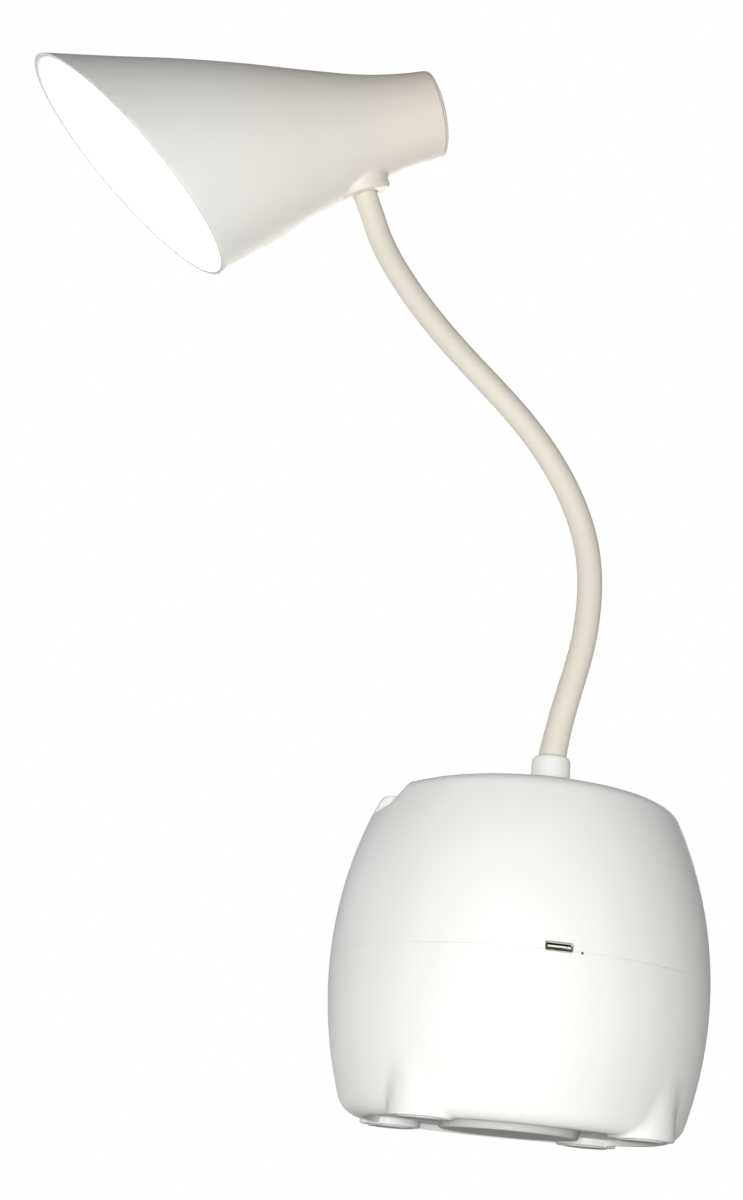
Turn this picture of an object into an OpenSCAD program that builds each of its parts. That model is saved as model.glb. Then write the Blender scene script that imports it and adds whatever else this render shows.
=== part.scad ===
// Rechargeable desk lamp: barrel base with a drawer, phone slot, flexible neck and horn-shaped head.
// Millimetres. Z up, the lamp stands on z = 0. The base axis is x = y = 0.
// The drawer is at the front (-Y), the charging socket and the neck are at the back (+Y).

/* [Base] */
// Largest outer radius of the base
base_r = 55.9; // [55.5:0.1:56.5]
// Radius of the long arc of the base's side
side_arc = 119.2; // [115:1:125]
// Height of the widest ring above the table
belly_z = 44.1; // [43:0.1:45]
// Height of the flat of the top edge
rim_z = 95.5; // [95:0.1:96]
// Rounding of the top edge
top_round = 5.9; // [5.5:0.1:6.5]
// Rounding of the bottom edge
bottom_round = 7.6; // [7:0.1:8]
// Wall thickness of the two housings
wall = 2.4; // [2:0.1:2.6]
// Height of the joint line between the two housings
seam_z = 44.9; // [44.5:0.1:45.5]

/* [Drawer] */
// Width of the drawer opening
drawer_w = 68; // [60:1:70]
// Height of the drawer opening
drawer_h = 31.5; // [28:0.5:31.5]
// Gap around the drawer front
drawer_gap = 0.5; // [0.4:0.1:0.8]
// How far the drawer is pulled out in this file (0 is shut)
drawer_out = 0; // [0:1:45]

/* [Phone slot] */
// Height of the slot's floor
slot_floor_z = 87.3; // [85:0.1:89]
// Width of the slot at its top, front to back
slot_top_w = 12; // [11:0.1:13]
// Width of the slot at its floor
slot_floor_w = 9; // [8:0.1:10]
// Height of the front lip of the slot
lip_z = 94.6; // [93:0.1:95]

/* [Neck] */
// Outer radius of the neck's sleeve
neck_r = 3.8; // [3.6:0.1:4]
// Radius of the steel core in each length of neck
core_r = 2.4; // [2:0.1:2.5]
// Gap between a ball and its cup
ball_gap = 0.3; // [0.25:0.05:0.4]

/* [Head] */
// Wall thickness of the shade
shade_wall = 1.2; // [1:0.1:2]
// Distance of the opening's middle from the rear end
mouth_s = 99.5; // [95:0.5:102]
// Slant of the opening
mouth_tilt = 27.5; // [25:0.5:30]
// Depth of the diffuser behind the rim
diffuser_depth = 1; // [0.5:0.5:6]

/* [Hidden] */
$fn = 96;
foot_rho = 42.9;
foot_r = 9.1;
foot_xy = foot_rho * sin(45);
base_bottom = 0.8;
dome_a = 5.7;
bay_z0 = 9.5;
bay_y1 = 20;
neck_y = 29;
tilt_p = [0, 55, 3.5];
tilt_d = 87.5;
// Neck joints from the base up to the head, on a curve set by hand
NJ = [[0, 29, 99], [-1.2, 29, 111], [-7.6, 29, 141], [-7.6, 29, 170], [3.6, 29, 197], [23, 29, 219], [45, 29, 241], [65, 27, 266.3]];
head_at = [52.8, 37.2, 314];
head_rot = [-13.8, 22.9, -3];
boss_s = 30.2;
boss_z = -22.2;
boss_r = 8.3;
// Shade radius at a few stations along its axis, joined by a smooth curve
HS = [0, 20, 40, 60, 80, 100, 126];
HR = [14, 16.6, 22.1, 28.2, 33.6, 38.3, 44.8];

// ---------- curves ----------
function arcp(cx, cy, r, a0, a1, n) = [for (i = [0:n]) [cx + r * cos(a0 + (a1 - a0) * i / n), cy + r * sin(a0 + (a1 - a0) * i / n)]];
arc_x = base_r - side_arc;
function side_x(z, r) = arc_x + sqrt(pow(side_arc - r, 2) - pow(z - belly_z, 2));
b_c = [side_x(base_bottom + bottom_round, bottom_round), base_bottom + bottom_round];
t_c = [side_x(rim_z - top_round, top_round), rim_z - top_round];
b_a = atan2(b_c[1] - belly_z, b_c[0] - arc_x);
t_a = atan2(t_c[1] - belly_z, t_c[0] - arc_x);
t_e = [t_c[0] + top_round * sin(dome_a), t_c[1] + top_round * cos(dome_a)];
dome_r = t_e[0] / sin(dome_a);
dome_z = t_e[1] - dome_r * cos(dome_a);
// Half section of the barrel, set in by t
function barrel_pts(t) = concat([[0, base_bottom + t]],
  arcp(b_c[0], b_c[1], bottom_round - t, -90, b_a, 5),
  [for (p = arcp(arc_x, belly_z, side_arc - t, b_a, t_a, 16)) p],
  arcp(t_c[0], t_c[1], top_round - t, t_a, 90 - dome_a, 5),
  arcp(0, dome_z, dome_r - t, 90 - dome_a, 90, 3));
function dedupe(p) = [for (i = [0:len(p) - 1]) if (i == 0 || norm(p[i] - p[i - 1]) > 0.01) p[i]];
module barrel(t = 0) { rotate_extrude($fn = 128) polygon(dedupe(barrel_pts(t))); }
function outer_r(z) = side_x(z, 0);

module slab(z0, z1) { translate([-80, -80, z0]) cube([160, 160, z1 - z0]); }
module bay(g = 0, y0 = -70, y1 = bay_y1) {
  translate([-drawer_w / 2 - g, y0, bay_z0 - g]) cube([drawer_w + 2 * g, y1 - y0 + g, drawer_h + 2 * g]);
}
module at_feet() { for (sx = [-1, 1], sy = [-1, 1]) translate([sx * foot_xy, sy * foot_xy, 0]) children(); }
// A bar from p to q: children are built along +Z with length len
module along(p, q) {
  d = q - p;
  translate(p) rotate([0, acos(d[2] / norm(d)), atan2(d[1], d[0])]) children();
}

// ---------- base ----------
cover_screw_at = [for (a = [30, 150, 270]) [33 * cos(a), 33 * sin(a)]];
housing_post_at = [[40, 12], [-40, 12], [24, 38], [-24, 38]];
usb_x = 0.6;
usb_z0 = 44.8;
light_x = -5.65;

module slot_prism() {
  translate([-80, 0, 0]) rotate([90, 0, 90])
    linear_extrude(height = 160) polygon([[0, slot_floor_z], [slot_floor_w, slot_floor_z],
      [slot_top_w + (slot_top_w - slot_floor_w) * 5 / 10, 100], [0, 100]]);
}
module relief_cut(extra = 0) {
  intersection() {
    rotate(tilt_p) translate([-60, -60, tilt_d - extra]) cube([120, 120, 40]);
    translate([20, 0, slot_floor_z - extra]) cube([60, 34, 40]);
  }
}

module upper_housing() {
  color([0.94, 0.94, 0.93]) difference() {
    union() {
      intersection() {
        difference() { barrel(0); barrel(wall); }
        slab(seam_z, 110);
      }
      // trough of the phone slot
      intersection() { barrel(1); translate([-80, -2, slot_floor_z - 2]) cube([160, 17.2, 20]); }
      // floor under the flat front part of the top
      intersection() { barrel(1); translate([-80, -80, lip_z - 2.4]) cube([160, 80, 10]); }
      // backing of the relief at the slot's end
      intersection() { barrel(1); relief_cut(2.2); }
      // posts for the housing screws
      intersection() {
        barrel(1);
        union() {
          for (p = housing_post_at) translate([p[0], p[1], seam_z]) cylinder(r = 3.6, h = 16);
        }
      }
      for (p = housing_post_at) intersection() {
        barrel(1);
        translate([p[0], p[1], seam_z + 8]) rotate([0, 0, atan2(p[1], p[0])]) translate([0, -1, -8]) cube([30, 2, 16]);
      }
      // ring that stiffens the neck's seat
      translate([0, neck_y, 91.5]) cylinder(r = 9, h = 4);
      // post of the touch board
      for (sx = [-1, 1]) translate([sx * 10, -24, 86]) cylinder(r = 2.2, h = lip_z - 86 - 1);
    }
    slot_prism();
    // the lip's ends turn back to the side of the base
    for (sx = [-1, 1]) translate([sx * 48, 0, slot_floor_z]) rotate([0, 0, 45]) translate([-2, -2, 0]) cube([4, 4, 20]);
    relief_cut(0);
    translate([-80, -80, lip_z]) cube([160, 80, 20]);
    translate([0, neck_y, 80]) cylinder(r = 5.05, h = 30);
    translate([0, -24, lip_z - 1.4]) cylinder(r = 8.1, h = 5);
    translate([0, -24, lip_z - 4]) cylinder(r = 4, h = 5);
    for (p = housing_post_at) translate([p[0], p[1], seam_z - 1]) cylinder(r = 1.2, h = 12);
    // mouth of the charging socket
    translate([usb_x - 3.8, 46, usb_z0 - 0.05]) cube([7.6, 20, 2.3]);
    translate([light_x, 46, seam_z - 0.2]) rotate([-90, 0, 0]) cylinder(r = 0.36, h = 20, $fn = 24);
  }
}

module lower_housing() {
  color([0.94, 0.94, 0.93]) difference() {
    union() {
      intersection() {
        difference() { barrel(0); barrel(wall); }
        slab(0, seam_z);
      }
      // feet
      at_feet() translate([0, 0, 0.4]) cylinder(r = foot_r, h = 13.6);
      // drawer bay
      intersection() { barrel(1); bay(1.6); }
      // deck that carries the board and the battery
      intersection() { barrel(1); slab(41, 42.5); }
      for (x = [-15, 15], y = [24, 44]) translate([x, y, 41]) cylinder(r = 2.6, h = usb_z0 - 42.6);
      for (p = housing_post_at) intersection() {
        barrel(1);
        translate([p[0], p[1], 20]) cylinder(r = 3.6, h = seam_z - 20);
      }
      // posts of the bottom cover
      for (p = cover_screw_at) translate([p[0], p[1], 4.4]) cylinder(r = 3.2, h = 4.6);
    }
    bay(0);
    // hole of the bottom cover, with the feet left standing in it
    difference() { translate([0, 0, -1]) cylinder(r = 41, h = 5.4); at_feet() translate([0, 0, -2]) cylinder(r = foot_r, h = 8); }
    at_feet() translate([0, 0, -1]) cylinder(r = 6.6, h = 2.2);
    for (x = [-15, 15], y = [24, 44]) translate([x, y, 40]) cylinder(r = 0.9, h = 6);
    for (p = housing_post_at) translate([p[0], p[1], 15]) cylinder(r = 1.5, h = 40);
    for (p = housing_post_at) translate([p[0], p[1], 15]) cylinder(r = 2.8, h = 21);
    for (p = cover_screw_at) translate([p[0], p[1], 3]) cylinder(r = 1.1, h = 5);
    translate([usb_x - 3.8, 46, usb_z0 - 0.05]) cube([7.6, 20, 2.3]);
    translate([light_x, 46, seam_z - 0.2]) rotate([-90, 0, 0]) cylinder(r = 0.36, h = 20, $fn = 24);
    // way for the wires
    translate([0, 24, 35]) cylinder(r = 3, h = 12);
  }
}

module bottom_cover() {
  color([0.93, 0.93, 0.92]) difference() {
    translate([0, 0, 2.3]) cylinder(r = 40.7, h = 2);
    at_feet() translate([0, 0, -1]) cylinder(r = foot_r + 0.4, h = 8);
    for (p = cover_screw_at) translate([p[0], p[1], 0]) cylinder(r = 1.5, h = 6);
    for (p = cover_screw_at) translate([p[0], p[1], 0]) cylinder(r = 2.7, h = 3.1);
  }
}
module bottom_pad() { color([0.7, 0.7, 0.69]) cylinder(r = 20, h = 2.3); }
module foot_pads() { color([0.7, 0.7, 0.69]) at_feet() cylinder(r = 6.5, h = 1.2); }
module screw(shaft_r, len, head_r, head_h) {
  difference() {
    union() { translate([0, 0, -head_h / 2]) cylinder(r = shaft_r, h = len + head_h / 2); translate([0, 0, -head_h]) cylinder(r = head_r, h = head_h - 0.03); }
    for (a = [0, 90]) rotate([0, 0, a]) translate([-head_r * 0.6, -0.3, -head_h - 1]) cube([head_r * 1.2, 0.6, 1.5]);
  }
}
module cover_screws() { color([0.6, 0.6, 0.62]) for (p = cover_screw_at) translate([p[0], p[1], 3.1]) screw(1.05, 4.6, 2.5, 0.7); }
module housing_screws() { color([0.6, 0.6, 0.62]) for (p = housing_post_at) translate([p[0], p[1], 36]) screw(1.15, 18, 2.5, 1.6); }
module ballast_block() {
  color([0.45, 0.45, 0.47]) difference() {
    translate([-17, 23.5, 4.5]) cube([34, 19, 26]);
    translate([0, 33, 0]) cylinder(r = 3, h = 60);
  }
}
module battery_cell() {
  color([0.2, 0.45, 0.75]) translate([-32.5, -12, 54]) rotate([0, 90, 0]) { cylinder(r = 9.2, h = 64); translate([0, 0, 64]) cylinder(r = 3, h = 1.2); }
}
module battery_cradle() {
  color([0.15, 0.15, 0.16]) difference() {
    translate([-35, -22, 42.6]) cube([70.5, 20, 10]);
    translate([-33, -12, 54]) rotate([0, 90, 0]) cylinder(r = 9.5, h = 66.5);
  }
}
module battery_strap() {
  color([0.85, 0.83, 0.7]) translate([0, -12, 54]) rotate([0, 90, 0]) difference() {
    cylinder(r = 10.2, h = 8, center = true);
    cylinder(r = 9.4, h = 10, center = true);
    translate([1.3, -20, -10]) cube([40, 40, 20]);
  }
}
module main_circuit_board() {
  color([0.1, 0.42, 0.22]) difference() {
    translate([-19, 19.5, usb_z0 - 1.6]) cube([38, 29.5, 1.6]);
    for (x = [-15, 15], y = [24, 44]) translate([x, y, 40]) cylinder(r = 1.15, h = 6);
    translate([0, 24, 40]) cylinder(r = 3, h = 12);
    for (sx = [-1, 1]) translate([sx * 24, 38, 40]) cylinder(r = 5.6, h = 8);
  }
}
module board_parts() {
  color([0.12, 0.12, 0.13]) {
    translate([-4, 30, usb_z0 + 0.05]) cube([6, 5, 1.6]);
    translate([6, 29, usb_z0 + 0.05]) cube([5, 5, 3]);
    translate([-12, 30, usb_z0 + 0.05]) cube([4, 3, 1.2]);
    translate([-10, 37, usb_z0 + 0.05]) cylinder(r = 2.5, h = 5.4);
    translate([8, 38, usb_z0 + 0.05]) cube([3, 3.4, 1.4]);
  }
}
module board_screws() { color([0.7, 0.7, 0.72]) for (x = [-15, 15], y = [24, 44]) translate([x, y, usb_z0 + 0.1]) mirror([0, 0, 1]) screw(0.85, 3.2, 1.8, 1); }
module micro_usb_socket() {
  color([0.75, 0.75, 0.77]) difference() {
    translate([usb_x - 3.7, 49.5, usb_z0 + 0.05]) cube([7.4, 5.4, 2.05]);
    difference() {
      translate([usb_x - 3.4, 50.3, usb_z0 + 0.3]) cube([6.8, 6, 1.55]);
      translate([usb_x - 2.3, 49, usb_z0 + 0.8]) cube([5.2, 5.4, 0.5]);
    }
  }
}
module charge_light_pipe() { color([0.85, 0.3, 0.25]) translate([light_x, 49.4, seam_z - 0.2]) rotate([-90, 0, 0]) cylinder(r = 0.31, h = 5.9, $fn = 24); }
module touch_key() {
  color([0.8, 0.8, 0.82]) translate([0, -24, lip_z - 1.3]) cylinder(r = 8, h = 1.5);
}
module touch_spring() {
  color([0.7, 0.6, 0.3]) translate([0, -24, 86]) for (i = [0:4]) translate([0, 0, 0.6 + i * 1.35]) rotate_extrude($fn = 48) translate([2.6, 0]) circle(r = 0.68, $fn = 24);
}
module touch_board() { color([0.1, 0.42, 0.22]) translate([-13, -28, 84.3]) cube([26, 8, 1.5]); }
module neck_collar() {
  color([0.93, 0.93, 0.92]) difference() {
    translate([0, neck_y, 0]) rotate_extrude() polygon([[4.5, 94], [5.7, 94], [5.6, 101.5], [5.4, 103.2], [5, 104.2], [4.5, 104.5]]);
    barrel(0);
  }
}
module neck_base_ferrule() {
  color([0.78, 0.76, 0.7]) translate([0, neck_y, 84]) difference() { cylinder(r = 5, h = 12); translate([0, 0, -1]) cylinder(r = 2.5, h = 30); }
}
module neck_base_nut() {
  color([0.7, 0.7, 0.72]) translate([0, neck_y, 87]) difference() { cylinder(r = 8.4, h = 4.4, $fn = 6); translate([0, 0, -1]) cylinder(r = 5.05, h = 8); }
}
// One length of neck from p to q: a tube with a ball end round p and a cup round q
module sleeve(p, q, ball = true, cup = true) {
  L = norm(q - p);
  b = core_r + 0.1;
  c = neck_r + ball_gap;
  along(p, q) rotate_extrude() polygon(concat(
    ball ? [for (i = [0:10]) let (f = asin(b / neck_r) + (90 - asin(b / neck_r)) * i / 10) [neck_r * sin(f), -neck_r * cos(f)]] : [[b, 0], [neck_r, 0]],
    cup ? [for (i = [0:8]) let (f = asin(neck_r / c) + (asin(b / c) - asin(neck_r / c)) * i / 8) [c * sin(f), L - c * cos(f)]] : [[neck_r, L], [b, L]]));
}
module core(p, q) {
  L = norm(q - p);
  along(p, q) translate([0, 0, 0.5]) cylinder(r = core_r, h = L - 5.2);
}
module neck_base_end() { color([0.89, 0.87, 0.82]) sleeve([0, 29, 96.6], NJ[1], false, true); }
module drawer_runners() {
  color([0.8, 0.8, 0.8]) for (sx = [-1, 1]) translate([sx * 24 - 2, -40, bay_z0 + 0.05]) cube([4, 58, 0.8]);
}

// ---------- drawer ----------
module slid() { translate([0, -drawer_out, 0]) children(); }
fw = drawer_w / 2 - drawer_gap;
module drawer_front() {
  color([0.94, 0.94, 0.93]) slid() difference() {
    intersection() {
      union() {
        difference() { barrel(0); barrel(wall); }
        intersection() {
          barrel(1);
          union() {
            for (x = [-22, 22]) translate([x, -60, 25.2]) rotate([-90, 0, 0]) cylinder(r = 3.4, h = 18.6);
            translate([0, -60, 25.2]) rotate([-90, 0, 0]) cylinder(r = 4, h = 14);
            for (x = [-33.5, 31.9]) translate([x, -60, 10]) cube([1.6, 18.6, 30.5]);
            for (z = [10, 38.9]) translate([-33.5, -60, z]) cube([67, 18.6, 1.6]);
          }
        }
      }
      translate([-fw, -70, bay_z0 + drawer_gap]) cube([2 * fw, 28.6, drawer_h - 2 * drawer_gap]);
    }
    for (x = [-22, 22]) translate([x, -50, 25.2]) rotate([-90, 0, 0]) cylinder(r = 1.1, h = 12);
    translate([0, -60, 25.2]) rotate([-90, 0, 0]) cylinder(r = 1.6, h = 20);
  }
}
tray_z0 = bay_z0 + 0.95;
module drawer_tray() {
  color([0.92, 0.92, 0.91]) slid() difference() {
    translate([-32.6, -41.3, tray_z0]) cube([65.2, 59.3, 27]);
    translate([-31, -39.5, tray_z0 + 1.6]) cube([62, 55.9, 40]);
    for (x = [-22, 22]) translate([x, -50, 25.2]) rotate([-90, 0, 0]) cylinder(r = 1.5, h = 12);
    translate([0, -50, 25.2]) rotate([-90, 0, 0]) cylinder(r = 3.2, h = 12);
  }
}
module drawer_knob() {
  color([0.94, 0.94, 0.93]) slid() translate([0, -0.06, 25.2]) rotate([90, 0, 0]) difference() {
    rotate_extrude() polygon(concat([[0, 52.6], [3.9, 52.6], [3.9, 54.5], [3.6, 55], [3.6, 55.2]], arcp(0, 60, 6.2, -49, 90, 12)));
    barrel_clip_for_knob();
    translate([0, 0, 50]) cylinder(r = 1.1, h = 10.5);
  }
}
// The knob's foot stops at the drawer front's surface
module barrel_clip_for_knob() { rotate([-90, 0, 0]) translate([0, 0, -25.2]) barrel(0); }
module knob_screw() { color([0.6, 0.6, 0.62]) slid() translate([0, -45.9, 25.2]) rotate([90, 0, 0]) screw(1.05, 13.5, 2.6, 1.6); }
module drawer_screws() { color([0.6, 0.6, 0.62]) slid() for (x = [-22, 22]) translate([x, -39.45, 25.2]) rotate([90, 0, 0]) screw(1.05, 8, 2.6, 1.4); }

// ---------- head ----------
module head() { translate(head_at) rotate(head_rot) children(); }
function seg(s) = s >= HS[5] ? 5 : s >= HS[4] ? 4 : s >= HS[3] ? 3 : s >= HS[2] ? 2 : s >= HS[1] ? 1 : 0;
function slope(i) = i == 0 ? 0.05 : i == 6 ? 0.26 : (HR[i + 1] - HR[i - 1]) / (HS[i + 1] - HS[i - 1]);
function horn(s) = let (i = seg(s), h = HS[i + 1] - HS[i], u = (s - HS[i]) / h)
  (2 * u * u * u - 3 * u * u + 1) * HR[i] + (u * u * u - 2 * u * u + u) * h * slope(i)
  + (3 * u * u - 2 * u * u * u) * HR[i + 1] + (u * u * u - u * u) * h * slope(i + 1);
function horn_n(s) = (horn(s + 0.5) - horn(s - 0.5 < 0 ? 0 : s - 0.5)) / (s - 0.5 < 0 ? s + 0.5 : 1);
// Points of the shade's section at depth t under its outer surface
function horn_pts(t, s0, s1, n) = [for (i = [0:n]) let (s = s0 + (s1 - s0) * i / n, a = atan(horn_n(s))) [horn(s) - t * cos(a), s + t * sin(a)]];
module horn_solid(t, s0, s1, n = 20) {
  rotate([0, 90, 0]) rotate_extrude($fn = 112) polygon(concat([[0, s0]], [[horn(s0) - t, s0]], [for (p = horn_pts(t, s0 + 1, s1 - 1, n)) p], [[horn(s1) - t, s1]], [[0, s1]]));
}
module beyond_mouth(d = 0) {
  translate([mouth_s, 0, 0]) rotate([0, mouth_tilt, 0]) translate([-d, -100, -100]) cube([200, 200, 200]);
}
led_s = 56;
module shade() {
  color([0.9, 0.88, 0.85]) head() difference() {
    union() {
      difference() {
        union() {
          horn_solid(0, 1.2, 126, 24);
          translate([boss_s, 0, boss_z + 1.2]) rotate([-5, 0, 0]) rotate_extrude() polygon([[0, 0], [boss_r - 1.3, 0], [boss_r - 0.4, 0.4], [boss_r, 1.3], [boss_r, 12], [0, 12]]);
        }
        horn_solid(shade_wall, -2, 126.5, 24);
      }
      // seat of the neck's nut
      intersection() { horn_solid(0.7, 1.2, 120); translate([boss_s, 0, boss_z]) cylinder(r = 8.6, h = 6.4); }
      // ledge of the lamp board
      difference() { intersection() { horn_solid(0.7, 1.2, 120); translate([led_s - 2.4, 0, 0]) rotate([0, 90, 0]) cylinder(r = 60, h = 2); }
        translate([0, 0, 0]) rotate([0, 90, 0]) cylinder(r = 19.5, h = 120); }
    }
    beyond_mouth(0);
    translate([boss_s, 0, -40]) cylinder(r = 4.65, h = 30);
    for (a = [60, 180, 300]) translate([led_s - 4, 0, 0]) rotate([a, 0, 0]) translate([0, 0, 21.6]) rotate([0, 90, 0]) cylinder(r = 0.9, h = 5, $fn = 32);
  }
}
module rear_cap() {
  color([0.89, 0.87, 0.84]) head() rotate([0, 90, 0]) difference() {
    union() {
      rotate_extrude() polygon([[0, -0.7], [8, -0.5], [12, 0], [13.4, 0.4], [14, 1.1], [12.3, 1.1], [12.3, 5], [0, 5]]);
    }
    translate([0, 0, 1.2]) cylinder(r = 10.8, h = 10);
  }
}
module head_ferrule() {
  color([0.78, 0.76, 0.7]) head() translate([boss_s, 0, boss_z + 2]) difference() { cylinder(r = 4.6, h = 10); translate([0, 0, -1]) cylinder(r = 2.5, h = 20); }
}
module head_nut() {
  color([0.7, 0.7, 0.72]) head() translate([boss_s, 0, boss_z + 6.6]) difference() { cylinder(r = 7.2, h = 3.6, $fn = 6); translate([0, 0, -1]) cylinder(r = 4.65, h = 8); }
}
module neck_head_end() {
  q = head_point([boss_s, 0, boss_z + 1.9]);
  color([0.89, 0.87, 0.82]) sleeve(NJ[7], q, true, false);
}
function rx(a, p) = [p[0], p[1] * cos(a) - p[2] * sin(a), p[1] * sin(a) + p[2] * cos(a)];
function ry(a, p) = [p[0] * cos(a) + p[2] * sin(a), p[1], -p[0] * sin(a) + p[2] * cos(a)];
function rz(a, p) = [p[0] * cos(a) - p[1] * sin(a), p[0] * sin(a) + p[1] * cos(a), p[2]];
function head_point(p) = head_at + rz(head_rot[2], ry(head_rot[1], rx(head_rot[0], p)));
module led_board() {
  color([0.82, 0.84, 0.85]) head() translate([led_s - 0.35, 0, 0]) rotate([0, 90, 0]) difference() {
    cylinder(r = 24.2, h = 1.6);
    for (a = [60, 180, 300]) rotate([0, 0, a]) translate([-21.6, 0, -1]) cylinder(r = 1.2, h = 4, $fn = 32);
    translate([0, 0, -1]) cylinder(r = 2.4, h = 4);
  }
}
module led_chips() {
  color([0.98, 0.9, 0.45]) head() translate([led_s + 1.3, 0, 0]) rotate([0, 90, 0]) for (ring = [[6, 6], [12, 12]]) for (i = [0:ring[1] - 1])
    rotate([0, 0, i * 360 / ring[1]]) translate([ring[0], 0, 0.4]) cube([1.6, 2.8, 0.8], center = true);
}
module led_board_screws() {
  color([0.7, 0.7, 0.72]) head() for (a = [60, 180, 300]) rotate([a, 0, 0]) translate([led_s + 1.3, 0, 21.6]) rotate([0, -90, 0]) screw(0.85, 4, 1.7, 0.9);
}
module reflector() {
  color([0.95, 0.95, 0.95]) head() difference() {
    horn_solid(shade_wall + 0.3, led_s + 2.6, 126);
    horn_solid(shade_wall + 1.3, led_s + 2.2, 126.5);
    beyond_mouth(diffuser_depth + 2.1);
  }
}
module diffuser() {
  color([0.98, 0.97, 0.93, 0.85]) head() difference() {
    horn_solid(shade_wall + 0.25, 60, 126);
    beyond_mouth(diffuser_depth);
    difference() { translate([0, -100, -100]) cube([200, 200, 200]); beyond_mouth(diffuser_depth + 2); }
  }
}
module lamp_wires() {
  color([0.75, 0.1, 0.1]) head() {
    translate([boss_s, 0, boss_z + 4]) cylinder(r = 1, h = 12.5, $fn = 24);
    along([boss_s, 0, boss_z + 16], [led_s - 0.8, 0, -0.5]) cylinder(r = 1, h = norm([led_s - 0.8 - boss_s, 0, -0.5 - boss_z - 16]), $fn = 24);
  }
}

upper_housing();
lower_housing();
bottom_cover();
bottom_pad();
foot_pads();
cover_screws();
housing_screws();
ballast_block();
battery_cell();
battery_cradle();
battery_strap();
main_circuit_board();
board_parts();
board_screws();
micro_usb_socket();
charge_light_pipe();
touch_key();
touch_spring();
touch_board();
neck_collar();
neck_base_ferrule();
neck_base_nut();
neck_base_end();
drawer_runners();
drawer_front();
drawer_tray();
drawer_knob();
knob_screw();
drawer_screws();
color([0.89, 0.87, 0.82]) sleeve(NJ[1], NJ[2]);  // neck_sleeve_1
color([0.5, 0.5, 0.52]) core(NJ[1], NJ[2]);  // neck_core_1
color([0.89, 0.87, 0.82]) sleeve(NJ[2], NJ[3]);  // neck_sleeve_2
color([0.5, 0.5, 0.52]) core(NJ[2], NJ[3]);  // neck_core_2
color([0.89, 0.87, 0.82]) sleeve(NJ[3], NJ[4]);  // neck_sleeve_3
color([0.5, 0.5, 0.52]) core(NJ[3], NJ[4]);  // neck_core_3
color([0.89, 0.87, 0.82]) sleeve(NJ[4], NJ[5]);  // neck_sleeve_4
color([0.5, 0.5, 0.52]) core(NJ[4], NJ[5]);  // neck_core_4
color([0.89, 0.87, 0.82]) sleeve(NJ[5], NJ[6]);  // neck_sleeve_5
color([0.5, 0.5, 0.52]) core(NJ[5], NJ[6]);  // neck_core_5
color([0.89, 0.87, 0.82]) sleeve(NJ[6], NJ[7]);  // neck_sleeve_6
color([0.5, 0.5, 0.52]) core(NJ[6], NJ[7]);  // neck_core_6
neck_head_end();
shade();
rear_cap();
head_ferrule();
head_nut();
led_board();
led_chips();
led_board_screws();
reflector();
diffuser();
lamp_wires();
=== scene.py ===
import math

import bpy
import numpy as np
from mathutils import Matrix, Vector


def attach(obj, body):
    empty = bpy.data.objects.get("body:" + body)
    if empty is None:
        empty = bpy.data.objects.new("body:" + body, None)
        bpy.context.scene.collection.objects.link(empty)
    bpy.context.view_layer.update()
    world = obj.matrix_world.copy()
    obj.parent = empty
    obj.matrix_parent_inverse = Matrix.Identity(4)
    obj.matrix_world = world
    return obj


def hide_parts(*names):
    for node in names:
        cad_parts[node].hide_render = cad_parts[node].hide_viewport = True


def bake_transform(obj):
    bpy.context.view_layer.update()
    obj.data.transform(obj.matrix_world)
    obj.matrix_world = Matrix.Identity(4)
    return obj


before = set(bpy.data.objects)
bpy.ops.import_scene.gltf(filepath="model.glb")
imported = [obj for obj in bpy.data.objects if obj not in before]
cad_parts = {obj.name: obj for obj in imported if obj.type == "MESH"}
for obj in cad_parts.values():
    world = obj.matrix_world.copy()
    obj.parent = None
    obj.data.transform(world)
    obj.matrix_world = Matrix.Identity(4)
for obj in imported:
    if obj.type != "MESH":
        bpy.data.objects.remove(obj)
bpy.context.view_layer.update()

MM = 0.001
scene = bpy.context.scene

# ------------------------------------------------------------------ camera
cam_data = bpy.data.cameras.new("camera")
cam_data.lens = 50.0
cam_data.sensor_width = 36.0
cam_data.clip_start, cam_data.clip_end = 0.01, 50.0
camera = bpy.data.objects.new("camera", cam_data)
scene.collection.objects.link(camera)
cx = Vector((-0.98755, 0.12639, 0.09371))
cy = Vector((0.13119, 0.33269, 0.93386))
cz = Vector((0.08681, 0.93451, -0.34520))
camera.matrix_world = Matrix((
    (cx.x, cy.x, cz.x, 0.10019),
    (cx.y, cy.y, cz.y, 0.49245),
    (cx.z, cy.z, cz.z, -0.02555),
    (0, 0, 0, 1)))
scene.camera = camera

# ------------------------------------------------------------------ shape of the lamp, in millimetres
SIDE_ARC, BASE_R, BELLY, RIM_Z, TOP_R, BOT_R, WALL, SEAM, BOTTOM = 119.2, 55.9, 44.1, 95.5, 5.9, 7.6, 2.4, 44.9, 0.8
DOME_A = math.radians(5.7)
ARC_X = BASE_R - SIDE_ARC


def side_x(z, r=0.0):
    return ARC_X + np.sqrt((SIDE_ARC - r) ** 2 - (z - BELLY) ** 2)


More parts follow.
